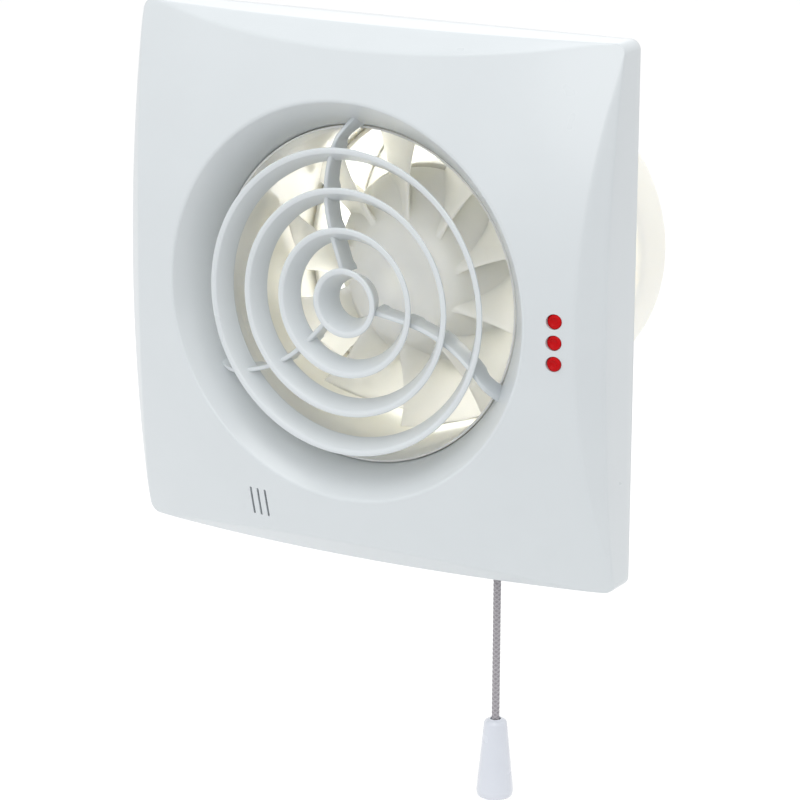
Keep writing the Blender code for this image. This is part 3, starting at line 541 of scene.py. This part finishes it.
def make_rings():
    """Four rings of the grille on three spokes."""
    pieces = []
    for i, radius in enumerate(RING_RADII):
        deep, lean = (mm(8.2), mm(3.0)) if i == 0 else (mm(5.8), mm(3.2))
        front, back = RING_FRONT, RING_FRONT + deep
        profile = rounded([
            (radius, front + mm(0.55)), (radius - mm(0.1), front + mm(0.1)),
            (radius - mm(0.9), front), (radius - mm(1.75), front + mm(0.25)),
            (radius - lean - mm(1.5), back - mm(0.3)), (radius - lean - mm(0.75), back),
            (radius - lean, back - mm(0.35)),
        ], mm(0.5, 0.5, 0.9, 0.6, 0.5, 0.6, 0.5), 3)
        pieces.append(lathe("ring", profile, "cover_white", steps=RING_STEPS[i], angle=50.0))
    pieces += [make_spoke(angle) for angle in SPOKE_ANGLES]
    grille = merge("ring_grille", pieces, "cover_white", 50.0)
    return place(grille, "cover", "cover_white")


def spoke_edges():
    """Radius and depth of a spoke's front and back edge, with the back edge's flare."""
    rows = []
    for i in range(52):
        r = mm(SPOKE_INNER) + (mm(SPOKE_FOOT) - mm(SPOKE_INNER)) * i / 51
        rows.append((r, mm(SPOKE_FRONT), r, mm(SPOKE_BACK), 0.0))
    front = bezier([mm(SPOKE_FOOT, SPOKE_FRONT), mm(48.6, SPOKE_FRONT), mm(50.4, -23.4),
                    mm(53.4, -20.4)], 20)
    back = bezier([mm(SPOKE_FOOT, SPOKE_BACK), mm(47.6, SPOKE_BACK), mm(49.2, -18.0),
                   mm(51.5, -16.4)], 20)
    for i in range(1, 21):
        rows.append((*front[i], *back[i], mm(3.8) * (i / 20) ** 1.6))
    return rows


def make_spoke(base_angle):
    """Curved blade behind the rings; it swells at each ring and its foot flares on the wall."""
    half, deep = mm(0.7), mm(7.0)
    sections = []
    for rf, yf, rb, yb, flare in spoke_edges():
        swell = 0.0
        for ring in RING_RADII:
            gap = max(0.0, abs(rb - (ring - mm(2.3))) - mm(1.6))
            swell += mm(0.6) * math.exp(-(gap / mm(0.8)) ** 2)
        wide = half + swell
        corners = [(-half, 0.0), (half, 0.0), (wide + 0.3 * flare, deep), (-wide - flare, deep)]
        section = []
        for across, down in rounded(corners, half * 0.85, 3):
            r, y = rf + (rb - rf) * down / deep, yf + (yb - yf) * down / deep
            u = (r - mm(30.0)) / mm(20.0)
            centre = base_angle - 7.35 * u - 5.74 * u * u + 1.77 * u ** 3
            section.append(polar(r, centre + math.degrees(across / r), y))
        sections.append(section)
    return loft("spoke", sections, "cover_white", 50.0)


def make_lenses():
    """Three red pips on one plate behind the cover."""
    pieces = []
    for z in PIP_Z:
        profile = [mm(0, -26.75), mm(0.8, -26.78), mm(1.02, -26.9), mm(1.2, -27.08),
                   mm(1.6, -27.08), mm(1.95, -26.95), mm(2.14, -26.7), mm(2.14, -22.6),
                   mm(0, -22.6)]
        pieces.append(lathe("lens", profile, "lens_red", centre=(PIP_X, 0, z), steps=48))
    pieces.append(box("plate", mm(64.2, -23.5, -12.2), mm(69.0, -22.1, 5.9), "lens_red",
                      mm(0.35)))
    guide = merge("window_pips", pieces, "lens_red")
    return place(guide, "cover", "lens_red", "light_guide")


# ------------------------------------------------------------------ duct parts
def make_duct():
    """Spigot with a tapered front lip inside the cover's recess."""
    profile = rounded([
        mm(48.9, -17.0), mm(47.7, -10.5), mm(47.7, 80.0), mm(49.5, 80.0), mm(49.5, -2.8),
        mm(57.0, -2.8), mm(57.0, -4.6), mm(49.5, -4.6), mm(49.5, -17.0)],
        mm(0.25, 1.5, 0.8, 0.7, 0.1, 0.3, 0.3, 0.2, 0.25), 4)
    tube = lathe("duct_spigot", profile, "duct_cream", steps=192)
    return place(tube, "casing", "duct_cream", "duct_tube")


def make_bracket():
    """Motor cup on swirl vanes inside a band."""
    cup = lathe("cup", rounded([
        mm(5, 54), mm(CUP_OUTER, 54), mm(CUP_OUTER, 24), mm(CUP_INNER, 24),
        mm(CUP_INNER, 52.4), mm(5, 52.4)],
        mm(0.3, 1.2, 0.4, 0.4, 0.3, 0.3), 4), "duct_cream", steps=128)
    screw_hole = [mm(0, 50), mm(1.6, 50), mm(1.6, 56), mm(0, 56)]
    holes = [lathe("hole", screw_hole, None, centre=polar(mm(18), 90.0 + 120.0 * k, 0.0),
                   steps=32) for k in range(3)]
    cup = boolean(cup, [merge("holes", holes, None)], "DIFFERENCE", "duct_cream")
    band = lathe("band", rounded([mm(47.3, 32), mm(47.3, 50), mm(46, 50), mm(46, 32)], mm(0.35), 3),
                 "duct_cream", steps=160)
    vanes = []
    for k in range(BRACKET_VANES):
        base = 18.0 + 360.0 / BRACKET_VANES * k
        sections = []
        for i in range(17):
            t = i / 16
            y = mm(33.0) + mm(16.0) * t
            angle = base + 14.0 * math.sin(math.radians(90.0 * t)) - 14.0
            half = mm(0.9) * min(1.0, math.sqrt(max(0.02, 1.0 - (abs(2.0 * t - 1.0)) ** 6)))
            row = []
            for side in (-1, 1):
                stations = range(9) if side < 0 else range(8, -1, -1)
                for j in stations:
                    r = mm(31.3) + mm(15.2) * j / 8
                    root = mm(0.7) * math.exp(-(r - mm(31.3)) / mm(1.2))
                    tip = mm(0.6) * math.exp(-max(mm(46.0) - r, 0.0) / mm(1.0))
                    row.append(polar(r, angle + side * math.degrees((half + root + tip) / r), y))
            sections.append(row)
        vanes.append(loft("vane", sections, "duct_cream", 40.0))
    bracket = merge("motor_spider", [cup, band] + vanes, "duct_cream", 40.0)
    return place(bracket, "casing", "duct_cream", "motor_bracket")


# ------------------------------------------------------------------- impeller
def make_impeller():
    """Hollow mixed-flow hub with its blades, as one solid."""
    outer = bezier([mm(0, 0.9), mm(8.5, 0.9), mm(15.5, 2.6), mm(18.6, 5.4)], 14)
    outer += bezier([mm(19.0, 5.8), mm(22.5, 10.3), mm(26.8, 16.2), mm(30.65, 21.3)], 10)
    outer += [mm(30.8, 21.6), mm(30.7, 21.8)]
    inner = [mm(29.2, 21.8), mm(29.0, 21.6)]
    inner += bezier([mm(28.7, 21.2), mm(21.6, 11.6), mm(17.2, 5.0), mm(5.4, 3.1)], 10)
    boss = [mm(5.4, 20.2), mm(5.1, 20.5), mm(2.4, 20.5), mm(2.08, 20.2), mm(2.08, 7.2), mm(0, 7.2)]
    hub = lathe("hub", outer + inner + boss, "impeller_cream", steps=144, angle=40.0)
    blades = [make_blade(FIRST_BLADE + 360.0 / BLADES * k) for k in range(BLADES)]
    hub.name = "fan_wheel"
    impeller = boolean(hub, [merge("blades", blades, None)], "UNION", "impeller_cream", 40.0)
    return place(impeller, "fan", "impeller_cream", "impeller")


def make_blade(leading_angle):
    """Mixed-flow blade: hub line to tip, thick rounded front edge, thin back edge."""
    chord, spans = 20, 22
    sections = []
    for j in range(spans + 1):
        t = -0.02 + 1.02 * j / spans
        upper, lower = [], []
        for i in range(chord + 1):
            s = 0.5 - 0.5 * math.cos(math.pi * i / chord)
            hub_r, hub_y = mm(18.1) + mm(12.2) * s, mm(5.1) + mm(16.2) * s
            r = (1.0 - t) * hub_r + t * TIP_RADIUS
            y = (1.0 - t) * hub_y + t * (mm(10.2) + mm(15.8) * s)
            sweep = BLADE_TWIST * s + 2.6 * math.sin(math.pi * max(t, 0.0)) * (1.0 - s)
            front = math.sqrt(max(0.0, 1.0 - (1.0 - min(1.0, s / 0.12)) ** 2))
            half = (mm(1.0) - mm(0.35) * t) * front * (1.0 - 0.72 * s)
            half = max(half, mm(0.12))
            half += mm(0.8) * math.exp(-max(t, 0.0) * mm(22.0) / mm(1.0))
            angle = leading_angle + sweep
            upper.append(polar(r, angle + math.degrees(half / r), y))
            lower.append(polar(r, angle - math.degrees(half / r), y))
        sections.append(upper + lower[::-1])
    return loft("blade", sections, "impeller_cream", 40.0)


# -------------------------------------------------------------- cord and handle
def braid_material():
    """Fine grey braid: two sets of strands winding opposite ways round the cord."""
    mat = bpy.data.materials.new("cord grey braid")
    tree, shader = nodes_of(mat)
    coords = add_node(tree, "ShaderNodeTexCoord")
    split = add_node(tree, "ShaderNodeSeparateXYZ")
    tree.links.new(coords.outputs["Object"], split.inputs["Vector"])

    def math_node(operation, first, second=None):
        node = add_node(tree, "ShaderNodeMath", operation=operation)
        for socket, value in zip(node.inputs, (first, second)):
            if value is None:
                continue
            if isinstance(value, float):
                socket.default_value = value
            else:
                tree.links.new(value, socket)
        return node.outputs["Value"]

    dx = math_node("SUBTRACT", split.outputs["X"], CORD_AT[0])
    dy = math_node("SUBTRACT", split.outputs["Y"], CORD_AT[1])
    around = math_node("MULTIPLY", math_node("ARCTAN2", dy, dx), BRAID_STRANDS)
    along = math_node("MULTIPLY", split.outputs["Z"], 2.0 * math.pi / BRAID_PITCH)
    first = math_node("SINE", math_node("ADD", around, along))
    second = math_node("SINE", math_node("SUBTRACT", around, along))
    strands = math_node("MAXIMUM", first, second)
    ramp = add_node(tree, "ShaderNodeValToRGB")
    ramp.color_ramp.elements[0].color = (0.25, 0.235, 0.255, 1.0)
    ramp.color_ramp.elements[1].color = (0.36, 0.345, 0.37, 1.0)
    ramp.color_ramp.elements[0].position = 0.2
    ramp.color_ramp.elements[1].position = 0.95
    tree.links.new(strands, ramp.inputs["Fac"])
    tree.links.new(ramp.outputs["Color"], shader.inputs["Base Color"])
    bump = add_node(tree, "ShaderNodeBump", Strength=0.8, Distance=0.0001)
    tree.links.new(strands, bump.inputs["Height"])
    tree.links.new(bump.outputs["Normal"], shader.inputs["Normal"])
    shader.inputs["Roughness"].default_value = 0.72
    shader.inputs["Sheen Weight"].default_value = 0.3
    return mat


def make_cord():
    """Braided cord with its strands raised, and the line that it follows."""
    x, y, _ = CORD_AT
    top, low = CORD_TOP, HANDLE_TOP - CORD_IN_HANDLE
    count, around = 420, 32
    verts, faces = [], []
    for i in range(count + 1):
        z = top + (low - top) * i / count
        end = min(1.0, math.sqrt(min(1.0, (top - z + mm(0.02)) / mm(0.8))))
        for j in range(around):
            a = 2.0 * math.pi * j / around
            turn = 2.0 * math.pi * z / BRAID_PITCH
            relief = max(math.sin(BRAID_STRANDS * a + turn), math.sin(BRAID_STRANDS * a - turn))
            r = CORD_RADIUS * end * (0.955 + 0.045 * relief)
            verts.append((x + r * math.cos(a), y + r * math.sin(a), z))
    for i in range(count):
        for j in range(around):
            k = (j + 1) % around
            faces.append((i * around + j, i * around + k,
                          (i + 1) * around + k, (i + 1) * around + j))
    faces.append(tuple(range(around)))
    faces.append(tuple(range(count * around, (count + 1) * around))[::-1])
    MAT["cord_grey"] = braid_material()
    cord = mesh_object("cord_braid", verts, faces, "cord_grey", 60.0)
    place(cord, "cord", "cord_grey", "pull_cord")
    return cord, [(x, y, top + (low - top) * i / 24) for i in range(25)]


def make_handle():
    """Tapered cord handle, hollow at the top for the cord."""
    low, top = HANDLE_BOTTOM, HANDLE_TOP
    body = rounded([(0.0, low), (mm(5.1), low), (mm(5.4), low + mm(1.9)), (mm(3.35), top - mm(0.9)),
                    (mm(1.5), top), (mm(1.5), top - mm(6.0)), (0.0, top - mm(6.0))],
                   [0.0, mm(1.3), mm(1.4), mm(1.6), mm(0.35), 0.0, 0.0], 7)
    handle = lathe("cord_handle", body, "handle_pearl", axis="Z", centre=CORD_AT, steps=96,
                   angle=45.0)
    return place(handle, "cord", "handle_pearl", "pull_handle")


# ---------------------------------------------------------------- return spring
def make_spring():
    """Coil under the plunger's flange, drawn at one length; on the fan it shortens as the cord is
    pulled.
    """
    turns, around, per_turn = 5, 8, 24
    coil, wire = mm(2.95), mm(0.3)
    x, y, _ = CORD_AT
    sections = []
    for i in range(turns * per_turn + 1):
        a = 2.0 * math.pi * i / per_turn
        z = SPRING_LOW + (SPRING_HIGH - SPRING_LOW) * i / (turns * per_turn)
        section = []
        for j in range(around):
            b = 2.0 * math.pi * j / around
            r = coil + wire * math.cos(b)
            section.append((x + r * math.cos(a), y + r * math.sin(a), z + wire * math.sin(b)))
        sections.append(section)
    spring = loft("coil_spring", sections, "spring_steel", 60.0)
    place(spring, "casing", "spring_steel", "return_spring")
    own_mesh(spring)
    return spring


make_cover()
make_rings()
make_lenses()
make_duct()
make_bracket()
make_impeller()
cord, cord_path = make_cord()
handle = make_handle()
make_spring()

# carried-over CAD nodes take their slot's procedural material
SLOT_OF = {row["node"]: row["material_slot"] for row in frame["record"]["subparts"]}
for node_name, node in frame["nodes"].items():
    slot_name = SLOT_OF[node_name]
    for slot in node.material_slots:
        slot.material = MAT[slot_name]


# ---------------------------------------------------------------------- stage
def sweep(name):
    """White studio floor that turns a little darker towards the front."""
    mat = bpy.data.materials.new(name)
    tree, shader = nodes_of(mat)
    coords = add_node(tree, "ShaderNodeTexCoord")
    across = add_node(tree, "ShaderNodeVectorMath", operation="DOT_PRODUCT")
    across.inputs[1].default_value = (0.5, -0.866, 0.0)
    tree.links.new(coords.outputs["Object"], across.inputs[0])
    ramp = add_node(tree, "ShaderNodeMapRange")
    ramp.interpolation_type = "SMOOTHSTEP"
    ramp.inputs["From Min"].default_value = 0.0
    ramp.inputs["From Max"].default_value = 0.7
    ramp.inputs["To Min"].default_value = 0.94
    ramp.inputs["To Max"].default_value = 0.35
    tree.links.new(across.outputs["Value"], ramp.inputs["Value"])
    tree.links.new(ramp.outputs["Result"], shader.inputs["Base Color"])
    shader.inputs["Roughness"].default_value = 0.6
    return mat


floor_mesh = bpy.data.meshes.new("floor")
FLOOR_REACH, FLOOR_Z = 6.0, -0.19
floor_mesh.from_pydata([(x * FLOOR_REACH, y * FLOOR_REACH, FLOOR_Z)
                        for x, y in ((-1, -1), (1, -1), (1, 1), (-1, 1))], [], [(0, 1, 2, 3)])
floor = bpy.data.objects.new("floor", floor_mesh)
bpy.context.scene.collection.objects.link(floor)
floor_mesh.materials.append(sweep("pale floor"))

world = bpy.data.worlds.new("studio") if not bpy.data.worlds else bpy.data.worlds[0]
bpy.context.scene.world = world
world.use_nodes = True
world.node_tree.nodes["Background"].inputs["Color"].default_value = (1.0, 1.0, 1.0, 1.0)
world.node_tree.nodes["Background"].inputs["Strength"].default_value = 1.05


def area_light(name, position, target, size, power):
    """Round white light that faces a point."""
    data = bpy.data.lights.new(name, "AREA")
    data.shape = "DISK"
    data.size = size
    data.energy = power
    obj = bpy.data.objects.new(name, data)
    obj.location = position
    obj.rotation_euler = (Vector(target) - Vector(position)).to_track_quat("-Z", "Y").to_euler()
    bpy.context.scene.collection.objects.link(obj)
    return obj


area_light("key", (0.30, -0.95, 0.42), (0, 0, 0), 0.55, 1.7)
area_light("high", (-0.05, -0.65, 0.85), (0, 0, 0), 0.5, 1.0)
area_light("top", (0.1, -0.25, 1.0), (0, 0, 0), 0.7, 2.5)
area_light("rear", (-0.40, 0.80, 0.45), (0, 0.04, 0), 0.6, 0.4)
# daylight that reaches the wheel down the duct
inside = area_light("inside", (0, 0.061, 0), (0, 0, 0), 0.09, 0.09)
inside.visible_camera = False

# --------------------------------------------------------------------- camera
camera_data = bpy.data.cameras.new("camera")
camera = bpy.data.objects.new("camera", camera_data)
bpy.context.scene.collection.objects.link(camera)
camera_data.lens = 156.9
camera_data.sensor_width = 36.0
camera_data.clip_end = 50.0
yaw, tilt, roll = (math.radians(a) for a in (29.95, 15.37, 0.29))
turn = (Matrix.Rotation(yaw, 4, "Z") @ Matrix.Rotation(math.pi / 2 - tilt, 4, "X")
        @ Matrix.Rotation(roll, 4, "Z"))
camera.matrix_world = Matrix.Translation(Vector((0.4962, -0.8571, 0.2370))) @ turn
bpy.context.scene.camera = camera
bpy.context.scene.view_settings.view_transform = "Standard"
